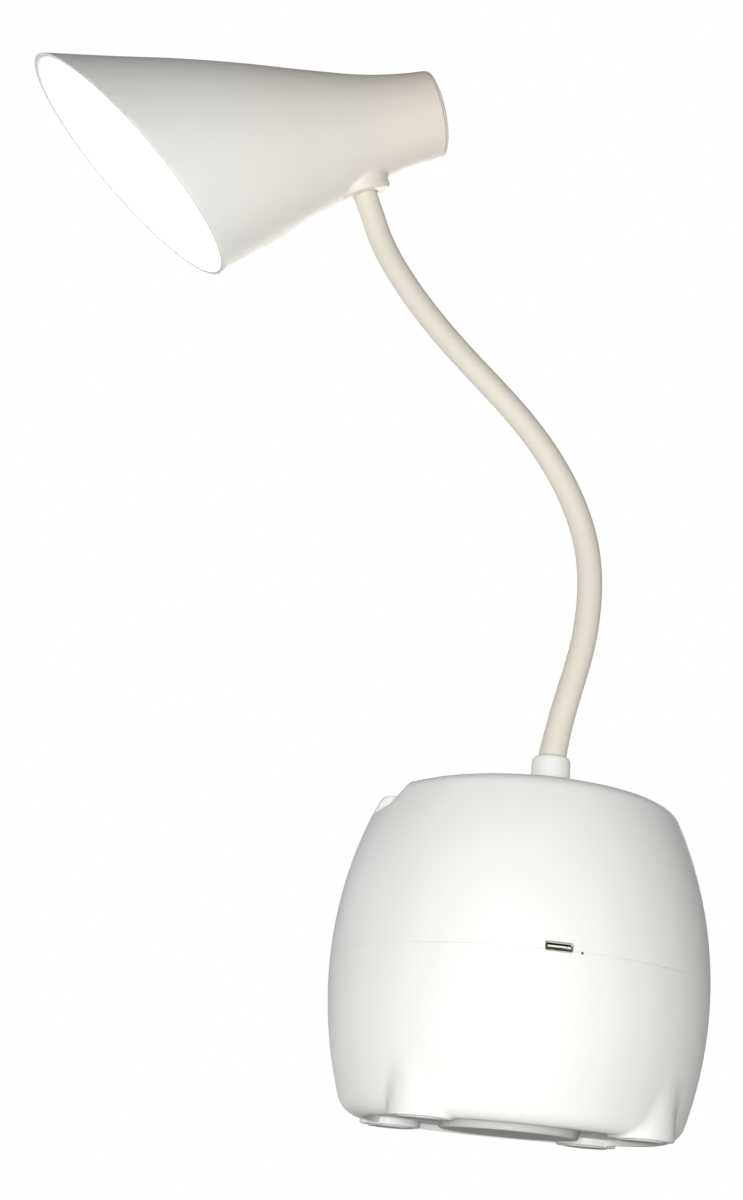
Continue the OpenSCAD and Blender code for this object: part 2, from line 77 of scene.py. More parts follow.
BCX, BCZ = float(side_x(BOTTOM + BOT_R, BOT_R)), BOTTOM + BOT_R
TCX, TCZ = float(side_x(RIM_Z - TOP_R, TOP_R)), RIM_Z - TOP_R
B_A = math.atan2(BCZ - BELLY, BCX - ARC_X)
T_A = math.atan2(TCZ - BELLY, TCX - ARC_X)
TEX, TEZ = TCX + TOP_R * math.sin(DOME_A), TCZ + TOP_R * math.cos(DOME_A)
DOME_R = TEX / math.sin(DOME_A)
DOME_Z = TEZ - DOME_R * math.cos(DOME_A)
NECK_Y = 29.0
FOOT_XY = 42.9 * math.sin(math.radians(45))
FOOT_R = 9.1
LIP_Z = 94.6
SLOT_Z, SLOT_FLOOR_W, SLOT_TOP_W = 87.3, 9.0, 12.0
USB_X, LIGHT_X = 0.6, -5.65
SHY = 0.02  # the shown surface stays this far inside the frame's box


def barrel(p):
    """Signed distance to the barrel's outer skin."""
    r, z = np.hypot(p[:, 0], p[:, 1]), p[:, 2]
    d = np.maximum(np.hypot(r - ARC_X, z - BELLY) - SIDE_ARC, np.hypot(r, z - DOME_Z) - DOME_R)
    d = np.maximum(d, BOTTOM - z)
    a = np.arctan2(z - TCZ, r - TCX)
    d = np.where((a > T_A) & (a < math.pi / 2 - DOME_A), np.hypot(r - TCX, z - TCZ) - TOP_R, d)
    a = np.arctan2(z - BCZ, r - BCX)
    d = np.where((a > -math.pi / 2) & (a < B_A), np.hypot(r - BCX, z - BCZ) - BOT_R, d)
    return d + SHY


def smin(a, b, k):
    h = np.clip(0.5 + 0.5 * (b - a) / k, 0, 1)
    return b + (a - b) * h - k * h * (1 - h)


def smax(a, b, k):
    return -smin(-a, -b, k)


def rmax(a, b, r):
    """Intersection with an edge rounded to radius r."""
    return np.minimum(np.maximum(a, b), -r) + np.hypot(np.maximum(a + r, 0), np.maximum(b + r, 0))


def box(p, lo, hi, r=0.0):
    lo, hi = np.array(lo, float), np.array(hi, float)
    q = np.abs(p - (lo + hi) / 2) - (hi - lo) / 2 + r
    return np.linalg.norm(np.maximum(q, 0), axis=1) + np.minimum(q.max(axis=1), 0) - r


def cyl(p, x, y, r, z0, z1, e=0.0):
    """Upright cylinder, its edges rounded to e."""
    a = np.hypot(p[:, 0] - x, p[:, 1] - y) - r
    b = np.abs(p[:, 2] - (z0 + z1) / 2) - (z1 - z0) / 2
    return rmax(a, b, e) if e else np.maximum(a, b)


# ------------------------------------------------------------------ meshing
def lines(*spans):
    """Grid lines from (start, end, step) spans that follow each other, each span cut evenly at about its step."""
    out = [spans[0][0]]
    for a, b, h in spans:
        n = max(1, int(round((b - a) / h)))
        out += [a + (b - a) * i / n for i in range(1, n + 1)]
    return np.array(out)


def gradient(f, p, e=0.01):
    g = np.empty_like(p)
    for i in range(3):
        q = p.copy()
        q[:, i] += e
        hi = f(q)
        q[:, i] -= 2 * e
        g[:, i] = (hi - f(q)) / (2 * e)
    return g


def dual_mesh(f, xs, ys, zs):
    """Quads on f = 0 by dual contouring: one vertex in each grid cell that the surface crosses, set on its edges and corners by least squares. Returns (vertices, quads, normals)."""
    nx, ny, nz = len(xs), len(ys), len(zs)
    d = np.empty((nx, ny, nz))
    yy, zz = np.meshgrid(ys, zs, indexing="ij")
    for i in range(0, nx, 12):
        k = min(nx, i + 12) - i
        p = np.empty((k, ny, nz, 3))
        p[..., 0] = xs[i:i + k, None, None]
        p[..., 1] = yy
        p[..., 2] = zz
        d[i:i + k] = f(p.reshape(-1, 3)).reshape(k, ny, nz)
    inside = d < 0
    axes = (xs, ys, zs)
    cells, points, quads_src = [], [], []
    shape = (nx - 1, ny - 1, nz - 1)
    for ax in range(3):
        lo = [slice(None)] * 3
        hi = [slice(None)] * 3
        lo[ax], hi[ax] = slice(None, -1), slice(1, None)
        change = inside[tuple(lo)] != inside[tuple(hi)]
        idx = np.argwhere(change)
        if not len(idx):
            continue
        jdx = idx.copy()
        jdx[:, ax] += 1
        da, db = d[tuple(idx.T)], d[tuple(jdx.T)]
        pa = np.stack([axes[k][idx[:, k]] for k in range(3)], 1)
        pb = np.stack([axes[k][jdx[:, k]] for k in range(3)], 1)
        for _ in range(3):
            t = np.clip(da / (da - db), 0.02, 0.98)[:, None]
            pm = pa + (pb - pa) * t
            dm = f(pm)
            left = (dm < 0) == (da < 0)
            pa = np.where(left[:, None], pm, pa)
            da = np.where(left, dm, da)
            pb = np.where(left[:, None], pb, pm)
            db = np.where(left, db, dm)
        t = np.clip(da / np.where(np.abs(da - db) < 1e-12, 1e-12, da - db), 0, 1)[:, None]
        points.append(pa + (pb - pa) * t)
        u, v = (ax + 1) % 3, (ax + 2) % 3
        four = []
        for du, dv in ((0, 0), (-1, 0), (-1, -1), (0, -1)):
            c = idx.copy()
            c[:, u] += du
            c[:, v] += dv
            ok = np.all((c >= 0) & (c < np.array(shape)), axis=1)
            four.append(np.where(ok, np.ravel_multi_index(np.clip(c, 0, np.array(shape) - 1).T, shape), -1))
        four = np.stack(four, 1)
        flip = ~inside[tuple(idx.T)]
        cells.append(four)
        quads_src.append(flip)
    points = np.concatenate(points)
    cells = np.concatenate(cells)
    flip = np.concatenate(quads_src)
    normals = gradient(f, points)
    normals /= np.maximum(np.linalg.norm(normals, axis=1, keepdims=True), 1e-9)
    good = cells >= 0
    which = np.broadcast_to(np.arange(len(points))[:, None], cells.shape)[good]
    ids, inv = np.unique(cells[good], return_inverse=True)
    n, p = normals[which], points[which]
    m = len(ids)
    count = np.bincount(inv, minlength=m).astype(float)
    mass = np.stack([np.bincount(inv, p[:, k], m) for k in range(3)], 1) / count[:, None]
    q = p - mass[inv]
    dist = (n * q).sum(1)
    A = np.empty((m, 3, 3))
    for a in range(3):
        for b in range(a, 3):
            A[:, a, b] = A[:, b, a] = np.bincount(inv, n[:, a] * n[:, b], m)
    rhs = np.stack([np.bincount(inv, n[:, k] * dist, m) for k in range(3)], 1)
    w, v = np.linalg.eigh(A)
    keep = w > 0.08 * count[:, None]
    wi = np.where(keep, 1 / np.where(keep, w, 1), 0)
    x = mass + np.einsum("mij,mj,mkj,mk->mi", v, wi, v, rhs)
    ijk = np.stack(np.unravel_index(ids, shape), 1)
    low = np.stack([axes[k][ijk[:, k]] for k in range(3)], 1)
    high = np.stack([axes[k][ijk[:, k] + 1] for k in range(3)], 1)
    x = np.clip(x, low, high)
    for _ in range(2):
        g = gradient(f, x)
        s = f(x)
        step = -(s / np.maximum((g * g).sum(1), 0.25))[:, None] * g
        x = np.clip(x + step, low - 0.02, high + 0.02)
    nv = gradient(f, x)
    nv /= np.maximum(np.linalg.norm(nv, axis=1, keepdims=True), 1e-9)
    whole = good.all(axis=1)
    quad = np.searchsorted(ids, cells[whole])
    flip = flip[whole]
    quad[flip] = quad[flip][:, ::-1]
    return x, quad, nv


def corner_normals(verts, faces, nv, limit=math.cos(math.radians(38))):
    """One normal for each face corner: the surface's own, or the face's where they part at a sharp edge."""
    a, b, c, d = (verts[faces[:, k]] for k in range(4))
    fn = np.cross(c - a, d - b)
    fn /= np.maximum(np.linalg.norm(fn, axis=1, keepdims=True), 1e-12)
    cn = nv[faces]
    same = np.einsum("fkx,fx->fk", cn, fn) > limit
    return np.where(same[..., None], cn, fn[:, None, :]).reshape(-1, 3)


def quad_object(name, verts, faces, mats, nv=None, slot_of=None):
    """A mesh object from arrays, in millimetres."""
    me = bpy.data.meshes.new(name)
    me.vertices.add(len(verts))
    me.vertices.foreach_set("co", (verts * MM).astype(np.float32).ravel())
    me.loops.add(faces.size)
    me.loops.foreach_set("vertex_index", faces.astype(np.int32).ravel())
    me.polygons.add(len(faces))
    me.polygons.foreach_set("loop_start", np.arange(0, faces.size, 4, dtype=np.int32))
    me.polygons.foreach_set("loop_total", np.full(len(faces), 4, dtype=np.int32))
    for m in mats:
        me.materials.append(m)
    if slot_of is not None:
        me.polygons.foreach_set("material_index", slot_of.astype(np.int32))
    me.update(calc_edges=True)
    me.validate()
    me.polygons.foreach_set("use_smooth", np.ones(len(me.polygons), bool))
    if nv is not None and len(me.polygons) == len(faces):
        me.normals_split_custom_set(corner_normals(verts, faces, nv))
    ob = bpy.data.objects.new(name, me)
    scene.collection.objects.link(ob)
    return ob


def poly_object(name, verts, faces, mats, sharp=35, slot_of=None):
    """A mesh object from lists, in millimetres, smooth but for edges over sharp degrees."""
    me = bpy.data.meshes.new(name)
    me.from_pydata([tuple(np.array(v, float) * MM) for v in verts], [], [tuple(int(i) for i in f) for f in faces])
    for m in mats:
        me.materials.append(m)
    if slot_of is not None:
        me.polygons.foreach_set("material_index", np.array(slot_of, np.int32))
    me.validate()
    me.polygons.foreach_set("use_smooth", np.ones(len(me.polygons), bool))
    me.set_sharp_from_angle(angle=math.radians(sharp))
    me.update()
    ob = bpy.data.objects.new(name, me)
    scene.collection.objects.link(ob)
    return ob


def arc(cx_, cy_, r, a0, a1, n):
    return [(cx_ + r * math.cos(math.radians(a0 + (a1 - a0) * i / n)), cy_ + r * math.sin(math.radians(a0 + (a1 - a0) * i / n))) for i in range(n + 1)]


def rounded(points, radii, n=5, closed=True):
    """The polygon with each corner rounded to its radius."""
    out, m = [], len(points)
    for i, (p, r) in enumerate(zip(points, radii)):
        if r <= 0 or (not closed and i in (0, m - 1)):
            out.append(tuple(p))
            continue
        p = np.array(p, float)
        a, b = np.array(points[i - 1], float) - p, np.array(points[(i + 1) % m], float) - p
        la, lb = np.linalg.norm(a), np.linalg.norm(b)
        a, b = a / la, b / lb
        half = math.acos(max(-1, min(1, float(a @ b)))) / 2
        t = min(r / math.tan(half), 0.48 * la, 0.48 * lb)
        r = t * math.tan(half)
        bis = (a + b) / np.linalg.norm(a + b)
        c = p + bis * (r / math.sin(half))
        s, e = p + a * t - c, p + b * t - c
        ang = math.acos(max(-1, min(1, float(s @ e) / (r * r))))
        for k in range(n + 1):
            w = k / n
            v = (math.sin((1 - w) * ang) * s + math.sin(w * ang) * e) / math.sin(ang)
            out.append(tuple(c + v))
    return out


def revolve(profile, n=96, place=None):
    """Vertices and faces of a closed profile [(r, z)] turned round z. Points on the axis stay single. place maps (m, 3) points."""
    verts, rings = [], []
    for r, z in profile:
        if abs(r) < 1e-9:
            rings.append([len(verts)])
            verts.append((0, 0, z))
        else:
            rings.append(list(range(len(verts), len(verts) + n)))
            verts += [(r * math.cos(2 * math.pi * i / n), r * math.sin(2 * math.pi * i / n), z) for i in range(n)]
    faces = []
    for k in range(len(rings)):
        a, b = rings[k], rings[(k + 1) % len(rings)]
        if len(a) == 1 and len(b) == 1:
            continue
        for i in range(n):
            j = (i + 1) % n
            if len(a) == 1:
                faces.append((a[0], b[j], b[i]))
            elif len(b) == 1:
                faces.append((a[i], a[j], b[0]))
            else:
                faces.append((a[i], a[j], b[j], b[i]))
    verts = np.array(verts, float)
    if place is not None:
        verts = place(verts)
    return verts, faces


def loft(loops, cap_start=True, cap_end=True):
    """Vertices and faces joining loops of equal length; the ends are capped."""
    n = len(loops[0])
    verts = [tuple(p) for loop in loops for p in loop]
    faces = []
    for k in range(len(loops) - 1):
        for i in range(n):
            j = (i + 1) % n
            faces.append((k * n + i, k * n + j, (k + 1) * n + j, (k + 1) * n + i))
    if cap_start:
        faces.append(tuple(range(n))[::-1])
    if cap_end:
        faces.append(tuple(range((len(loops) - 1) * n, len(loops) * n)))
    return verts, faces


# ------------------------------------------------------------------ materials
class Mat:
    """Builds one node material."""

    def __init__(self, name):
        self.mat = bpy.data.materials.new(name)
        self.mat.use_nodes = True
        self.t = self.mat.node_tree
        self.b = self.t.nodes["Principled BSDF"]
        self.co = self.t.nodes.new("ShaderNodeTexCoord").outputs["Object"]

    def new(self, kind, **values):
        n = self.t.nodes.new(kind)
        for k, v in values.items():
            setattr(n, k, v)
        return n

    def link(self, a, b):
        self.t.links.new(a, b)

    def noise(self, scale, detail=4.0, rough=0.55, stretch=None, distortion=0.0):
        n = self.new("ShaderNodeTexNoise")
        n.inputs["Scale"].default_value = scale
        n.inputs["Detail"].default_value = detail
        n.inputs["Roughness"].default_value = rough
        n.inputs["Distortion"].default_value = distortion
        if stretch:
            m = self.new("ShaderNodeMapping")
            m.inputs["Scale"].default_value = stretch
            self.link(self.co, m.inputs["Vector"])
            self.link(m.outputs["Vector"], n.inputs["Vector"])
        else:
            self.link(self.co, n.inputs["Vector"])
        return n.outputs["Fac"]

    def voronoi(self, scale):
        n = self.new("ShaderNodeTexVoronoi")
        n.inputs["Scale"].default_value = scale
        self.link(self.co, n.inputs["Vector"])
        return n.outputs["Distance"]

    def ramp(self, fac, *stops):
        n = self.new("ShaderNodeValToRGB")
        el = n.color_ramp.elements
        while len(el) < len(stops):
            el.new(0.5)
        for e, (pos, col) in zip(el, stops):
            e.position = pos
            e.color = col if len(col) == 4 else (*col, 1)
        self.link(fac, n.inputs["Fac"])
        return n.outputs["Color"]

    def range(self, fac, a, b, lo, hi):
        n = self.new("ShaderNodeMapRange")
        n.inputs["From Min"].default_value, n.inputs["From Max"].default_value = a, b
        n.inputs["To Min"].default_value, n.inputs["To Max"].default_value = lo, hi
        self.link(fac, n.inputs["Value"])
        return n.outputs["Result"]

    def math(self, op, a, b=None):
        n = self.new("ShaderNodeMath", operation=op)
        for k, v in enumerate((a, b)):
            if v is None:
                continue
            if isinstance(v, (int, float)):
                n.inputs[k].default_value = v
            else:
                self.link(v, n.inputs[k])
        return n.outputs[0]

    def mix(self, fac, a, b):
        n = self.new("ShaderNodeMix", data_type="RGBA")
        for s, v in ((n.inputs[0], fac), (n.inputs[6], a), (n.inputs[7], b)):
            if isinstance(v, tuple):
                s.default_value = v if len(v) == 4 else (*v, 1)
            elif isinstance(v, (int, float)):
                s.default_value = v
            else:
                self.link(v, s)
        return n.outputs[2]

    def bump(self, height, strength, distance, normal=None):
        n = self.new("ShaderNodeBump")
        n.inputs["Strength"].default_value = strength
        n.inputs["Distance"].default_value = distance
        self.link(height, n.inputs["Height"])
        if normal is not None:
            self.link(normal, n.inputs["Normal"])
        return n.outputs["Normal"]

    def set(self, **sockets):
        names = {"color": "Base Color", "rough": "Roughness", "metal": "Metallic", "normal": "Normal", "spec": "Specular IOR Level",
                 "coat": "Coat Weight", "coat_rough": "Coat Roughness", "sss": "Subsurface Weight", "sss_scale": "Subsurface Scale",
                 "emit": "Emission Color", "emit_k": "Emission Strength", "ior": "IOR", "sheen": "Sheen Weight", "trans": "Transmission Weight",
                 "sheen_rough": "Sheen Roughness", "aniso": "Anisotropic"}
        for k, v in sockets.items():
            s = self.b.inputs[names[k]]
            if isinstance(v, bpy.types.NodeSocket):
                self.link(v, s)
            elif isinstance(v, tuple):
                s.default_value = v if len(v) == 4 else (*v, 1)
            else:
                s.default_value = v
        return self


def srgb(*c):
    return tuple(((x / 255) / 12.92) if x / 255 <= 0.04045 else (((x / 255) + 0.055) / 1.055) ** 2.4 for x in c)


def plastic(name, color, tone, rough=0.34, grain=0.02, speck=0.5, coat=0.0, sss=0.0, spec=0.5):
    """Moulded plastic: faint colour drift, fine moulded grain, rubbed patches and a few dust specks."""
    m = Mat(name)
    drift = m.noise(9, 5, 0.6)
    c = m.ramp(drift, (0.3, tone), (0.7, color))
    dust = m.range(m.voronoi(210), 0.02, 0.05, 1.0, 0.0)
    few = m.range(m.noise(26, 2), 0.58, 0.66, 0.0, 1.0)
    dust = m.math("MULTIPLY", dust, few)
    c = m.mix(m.math("MULTIPLY", dust, speck), c, tuple(x * 0.62 for x in tone))
    fine = m.noise(2600, 3, 0.6)
    soft = m.noise(420, 3, 0.5)
    rub = m.noise(34, 6, 0.65, distortion=0.6)
    r = m.range(rub, 0.3, 0.72, rough * 0.82, rough * 1.25)
    height = m.math("ADD", m.math("MULTIPLY", fine, 0.6), m.math("MULTIPLY", soft, 0.4))
    m.set(color=c, rough=r, normal=m.bump(height, grain, 0.0004), spec=spec, coat=coat, coat_rough=0.12, sss=sss, sss_scale=0.002)
    m.b.inputs["Subsurface Radius"].default_value = (1.0, 0.85, 0.7)
    return m.mat


def plastic_with_painted_light(name, rear, mouth, at, axis, length, **kw):
    """Plastic with painted light: its tone drifts along an axis, whiter toward the mouth end and warmer toward the
    rear; rear at the start, mouth at the end, both (tone, colour).
    """
    mat = plastic(name, rear[1], rear[0], **kw)
    m = Mat.__new__(Mat)
    m.mat, m.t = mat, mat.node_tree
    m.b = m.t.nodes["Principled BSDF"]
    m.co = [n for n in m.t.nodes if n.bl_idname == "ShaderNodeTexCoord"][0].outputs["Object"]
    sub = m.new("ShaderNodeVectorMath", operation="SUBTRACT")
    m.link(m.co, sub.inputs[0])
    sub.inputs[1].default_value = at
    dot = m.new("ShaderNodeVectorMath", operation="DOT_PRODUCT")
    m.link(sub.outputs[0], dot.inputs[0])
    dot.inputs[1].default_value = axis
    way = m.range(dot.outputs["Value"], 0.0, length, 0.0, 1.0)
    old = m.b.inputs["Base Color"].links[0].from_socket
    # painted light: the colour is scaled from the warmer rear colour to the whiter mouth colour along the axis
    painted_light_tint = tuple(b / a for a, b in zip(rear[1], mouth[1]))
    scale = m.mix(way, (1.0, 1.0, 1.0), tuple(min(t, 1.2) for t in painted_light_tint))
    mul = m.new("ShaderNodeVectorMath", operation="MULTIPLY")
    m.link(old, mul.inputs[0])
    m.link(scale, mul.inputs[1])
    m.link(mul.outputs[0], m.b.inputs["Base Color"])
    return mat


def metal(name, color, rough, scratch=(1, 1, 1), grain=0.05):
    m = Mat(name)
    tone = m.noise(60, 4)
    c = m.ramp(tone, (0.3, tuple(x * 0.82 for x in color)), (0.7, color))
    lines_ = m.noise(900, 5, 0.7, stretch=scratch)
    r = m.range(m.noise(140, 5, 0.6, stretch=scratch), 0.3, 0.7, rough * 0.7, rough * 1.4)
    m.set(color=c, metal=1.0, rough=r, normal=m.bump(lines_, grain, 0.0003))
    return m.mat


WHITE = srgb(240, 240, 238)
M = {
    "housing": plastic("housing_plastic", srgb(243, 243, 241), srgb(236, 236, 233), rough=0.52, grain=0.05, speck=0.2, sss=0.04),
    # lamp shade plastic with painted light: whiter toward the mouth and warmer toward the rear, not the plastic's own
    # tone
    "shade": plastic_with_painted_light("shade_plastic", (srgb(233, 224, 213), srgb(238, 230, 219)), (srgb(233, 233, 230), srgb(235, 236, 233)), (0.0528, 0.0372, 0.314), (0.92, -0.048, -0.389), 0.105,
                            rough=0.5, grain=0.08, speck=0.2, sss=0.03),
    "shade_in": plastic("shade_inside", srgb(246, 246, 244), srgb(240, 240, 238), rough=0.5, grain=0.05, speck=0.1),
    "neck": plastic("neck_sleeve_skin", srgb(233, 228, 215), srgb(227, 221, 206), rough=0.55, grain=0.12, speck=0.25, sss=0.06),
    "tray": plastic("tray_plastic", srgb(238, 238, 236), srgb(230, 230, 227), rough=0.42, grain=0.08, speck=0.3),
    "grey": plastic("grey_plastic", srgb(118, 119, 121), srgb(100, 101, 103), rough=0.55, grain=0.14, speck=0.4),
    "black": plastic("black_plastic", srgb(34, 34, 36), srgb(24, 24, 26), rough=0.45, grain=0.1, speck=0.3),
    "cover": plastic("cover_plastic", srgb(238, 238, 236), srgb(229, 229, 226), rough=0.5, grain=0.12, speck=0.3),
    "rubber": plastic("pale_rubber", srgb(224, 224, 222), srgb(208, 208, 205), rough=0.78, grain=0.25, speck=0.6, spec=0.3),
    "tongue": plastic("socket_tongue", srgb(236, 233, 222), srgb(226, 222, 208), rough=0.4, grain=0.02, speck=0.0),
    "steel": metal("screw_steel", srgb(196, 197, 200), 0.28),
    "plated": metal("plated_steel", srgb(214, 214, 212), 0.2, scratch=(1, 5, 1)),
    "brass": metal("spring_brass", srgb(214, 178, 102), 0.25),
    "alu": metal("led_board_aluminium", srgb(206, 208, 210), 0.35),
    "touch": metal("touch_metal", srgb(210, 211, 214), 0.22),
    "pcb": plastic("board_green", srgb(34, 112, 66), srgb(24, 92, 52), rough=0.3, grain=0.05, speck=0.3, coat=0.3),
    "wrap": plastic("battery_wrap", srgb(58, 120, 190), srgb(48, 106, 176), rough=0.25, grain=0.04, speck=0.2),
    "strap": plastic("strap_band", srgb(226, 222, 196), srgb(214, 209, 180), rough=0.6, grain=0.2, speck=0.3),
    "wire": plastic("wire_skin", srgb(190, 40, 36), srgb(170, 30, 28), rough=0.4, grain=0.05, speck=0.2),
    "chips": plastic("led_phosphor", srgb(250, 226, 110), srgb(244, 214, 90), rough=0.4, grain=0.05, speck=0.0),
    "pipe": plastic("light_pipe_smoked", srgb(26, 16, 15), srgb(18, 11, 11), rough=0.4, grain=0.02, speck=0.0, spec=0.2),
    "port": metal("socket_shell", srgb(238, 238, 236), 0.46, scratch=(1, 5, 1)),
    "contact": metal("socket_contacts", srgb(226, 190, 112), 0.2),
}


def diffuser_material():
    m = Mat("diffuser_lit")
    c = m.ramp(m.noise(40, 3), (0.3, (0.93, 0.93, 0.93)), (0.7, (0.97, 0.97, 0.97)))
    glow = m.ramp(m.noise(18, 2), (0.2, (1.0, 0.985, 0.96)), (0.8, (1.0, 1.0, 0.99)))
    m.set(color=c, rough=m.range(m.noise(300, 3), 0.3, 0.7, 0.45, 0.6), emit=glow, emit_k=2.4, normal=m.bump(m.noise(1500, 2), 0.1, 0.0003))
    return m.mat


M["diffuser"] = diffuser_material()

# ------------------------------------------------------------------ base housings
BAY = ((-34, -70, 9.5), (34, 20, 41))


def turned(v, rx_, ry_, rz_):
    """A vector turned about x, then y, then z, in degrees."""
    x, y, z = v
    a = math.radians(rx_)
    y, z = y * math.cos(a) - z * math.sin(a), y * math.sin(a) + z * math.cos(a)
    a = math.radians(ry_)
    x, z = x * math.cos(a) + z * math.sin(a), -x * math.sin(a) + z * math.cos(a)
    a = math.radians(rz_)
    x, y = x * math.cos(a) - y * math.sin(a), x * math.sin(a) + y * math.cos(a)
    return np.array([x, y, z])


REL_N, REL_D = turned((0, 0, 1), 0, 55, 3.5), 87.5


def socket_mouth(p):
    """Mouth round the charging socket, flared where it meets the skin."""
    flare = np.clip(1 - (56.1 - np.hypot(p[:, 0], p[:, 1])) / 0.85, 0, 1)
    q = p.copy()
    q[:, 2] += 0.5 * flare * np.clip(46.0 - p[:, 2], 0, 1)
    return box(q, (USB_X - 3.8, 46, 44.75), (USB_X + 3.8, 70, 47.05), 0.6) - 0.08 * flare


def top_outer(p):
    """Outer skin of the upper housing with the phone slot, its front lip and the relief at its end."""
    d = barrel(p)
    lean = math.atan2(SLOT_TOP_W - SLOT_FLOOR_W, 10.0)
    back = (p[:, 1] - SLOT_FLOOR_W) * math.cos(lean) - (p[:, 2] - SLOT_Z) * math.sin(lean)
    slot = smax(smax(back, -p[:, 1], 0.6), SLOT_Z - p[:, 2], 1.6)
    turn = np.clip((5.0 - p[:, 1]) / 4.0, 0, 1)
    d = smax(d, -slot, 0.7 + 1.2 * turn * turn * (3 - 2 * turn) * np.clip((np.abs(p[:, 0]) - 30) / 8, 0, 1))
    d = np.where(p[:, 1] < 3, rmax(d, p[:, 2] - LIP_Z, 0.5), d)
    rel = smax(REL_D - p @ REL_N, box(p, (20, 0.0, SLOT_Z), (80, 34, 110)), 1.4)
    return smax(d, -rel, 0.45)


def upper(p):
    d = top_outer(p)
    solid = rmax(d, SEAM + 0.01 - p[:, 2], 0.06)
    d = np.maximum(solid, -(d + WALL))
    d = smax(d, -socket_mouth(p), 0.12)
    d = np.maximum(d, 5.05 - np.hypot(p[:, 0], p[:, 1] - NECK_Y))
    key = cyl(p, 0, -24, 8.12, LIP_Z - 1.4, LIP_Z + 5)
    return smax(d, -key, 0.3)


def lower(p):
    d = barrel(p)
    foot = None
    for sx in (-1, 1):
        for sy in (-1, 1):
            c = cyl(p, sx * FOOT_XY, sy * FOOT_XY, FOOT_R, 0.4, 30, 0.5)
            foot = c if foot is None else np.minimum(foot, c)
    body = smin(d, np.maximum(foot, d - 9.0), 1.5)
    solid = rmax(body, p[:, 2] - SEAM + 0.01, 0.06)
    hollow = np.maximum(d + WALL, 3.0 - p[:, 2])
    cavity = np.minimum(hollow, np.maximum(np.hypot(p[:, 0], p[:, 1]) - 41, p[:, 2] - 4.4))
    cavity = np.maximum(cavity, -foot)
    walls = np.maximum(box(p, (-35.6, -80, 7.9), (35.6, 21.6, 42.6)), d + 1.0)
    d = np.minimum(np.maximum(solid, -cavity), walls)
    d = smax(d, -box(p, *BAY, 0.6), 0.5)
    d = smax(d, -socket_mouth(p), 0.12)
    for sx in (-1, 1):
        for sy in (-1, 1):
            d = np.maximum(d, -cyl(p, sx * FOOT_XY, sy * FOOT_XY, 6.6, -1, 1.2))
    return d


def shell(name, f, xs, ys, zs, mat, body, node, place=None, turn=None, within=None):
    """A piece meshed from its distance function. Where within(p) holds, it takes its second material."""
    v, q, nv = dual_mesh(f, xs, ys, zs)
    mats = [M[m] for m in mat.split()]
    part = within(v[q].mean(axis=1)).astype(np.int32) if within is not None else None
    if place is not None:
        v, nv = place(v), turn(nv)
    ob = quad_object(name, v, q, mats, nv, part)
    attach(ob, body)
    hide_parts(node)
    print("mesh", name, len(v), "vertices", len(q), "quads")
    return ob


q1, q2 = ((1.0, 1.0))
ux = lines((-56.4, -40, 0.5 * q1), (-40, -9, 0.85 * q1), (-9, -3.9, 0.5), (-3.9, -2.5, 0.14), (-2.5, 3.7, 0.75), (3.7, 5.1, 0.14), (5.1, 9, 0.5), (9, 34, 0.85 * q1), (34, 56.4, 0.42 * q1))
uy = lines((-56.4, -40, 0.6 * q1), (-40, -1.2, 0.9 * q1), (-1.2, 1.2, 0.24), (1.2, 8.2, 0.8), (8.2, 14.2, 0.35), (14.2, 34, 0.75 * q1), (34, 56.4, 0.5 * q1))
uz = lines((44.7, 44.86, 0.16), (44.86, 45.02, 0.04), (45.02, 46.2, 0.3), (46.2, 47.7, 0.14), (47.7, 80, 1.3 * q1), (80, 93.4, 0.5), (93.4, 98.2, 0.22))
shell("upper_shell", upper, ux, uy, uz, "housing", "base", "upper_housing")
lx = lines((-56.4, -37, 0.7 * q1), (-37, -34.8, 0.6), (-34.8, -33.4, 0.24), (-33.4, -30, 0.7), (-30, -3.9, 1.1 * q1), (-3.9, -2.5, 0.14), (-2.5, 3.7, 0.9), (3.7, 5.1, 0.14),
           (5.1, 30, 1.1 * q1), (30, 33.4, 0.7), (33.4, 34.8, 0.24), (34.8, 37, 0.6), (37, 56.4, 0.7 * q1))
ly = lines((-56.4, -20, 0.7 * q1), (-20, 19, 1.3), (19, 22.4, 0.5), (22.4, 38, 1.0), (38, 56.4, 0.6 * q1))
lz = lines((0.2, 1.6, 0.2), (1.6, 4.2, 0.45), (4.2, 4.8, 0.3), (4.8, 8.9, 0.6), (8.9, 10.3, 0.24), (10.3, 22, 0.7), (22, 40.2, 1.2), (40.2, 43.2, 0.26), (43.2, 44.2, 0.3), (44.2, 44.8, 0.15), (44.8, 44.96, 0.04), (44.96, 45.1, 0.14))
shell("lower_shell", lower, lx, ly, lz, "housing", "base", "lower_housing")


# ------------------------------------------------------------------ underside
def cover(p):
    d = rmax(np.hypot(p[:, 0], p[:, 1]) - 40.7, np.abs(p[:, 2] - 3.3) - 1.0, 0.35)
    r = np.hypot(p[:, 0], p[:, 1])
    d = smax(d, -np.maximum(np.abs(r - 24.5) - 0.7, 1.0 * (p[:, 2] - 2.75)), 0.25)
    for sx in (-1, 1):
        for sy in (-1, 1):
            d = smax(d, FOOT_R + 0.4 - np.hypot(p[:, 0] - sx * FOOT_XY, p[:, 1] - sy * FOOT_XY), 0.3)
    for a in (30, 150, 270):
        x, y = 33 * math.cos(math.radians(a)), 33 * math.sin(math.radians(a))
        rr = np.hypot(p[:, 0] - x, p[:, 1] - y)
        d = smax(d, -np.maximum(rr - 2.75, p[:, 2] - 3.1), 0.2)
        d = np.maximum(d, 1.5 - rr)
    return d


cl = lines((-41.2, 41.2, 0.85 * q1))
shell("cover_plate", cover, cl, cl, lines((2.1, 4.5, 0.22)), "cover", "base", "bottom_cover")


def turned_piece(name, profile, mat, body, node, n=96, place=None, sharp=32):
    """A closed profile turned round an axis, as a piece in place of a CAD node."""
    v, f = revolve(profile, n, place)
    ob = poly_object(name, v, f, [M[mat]], sharp)
    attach(ob, body)
    if node:
        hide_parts(node)
    return ob


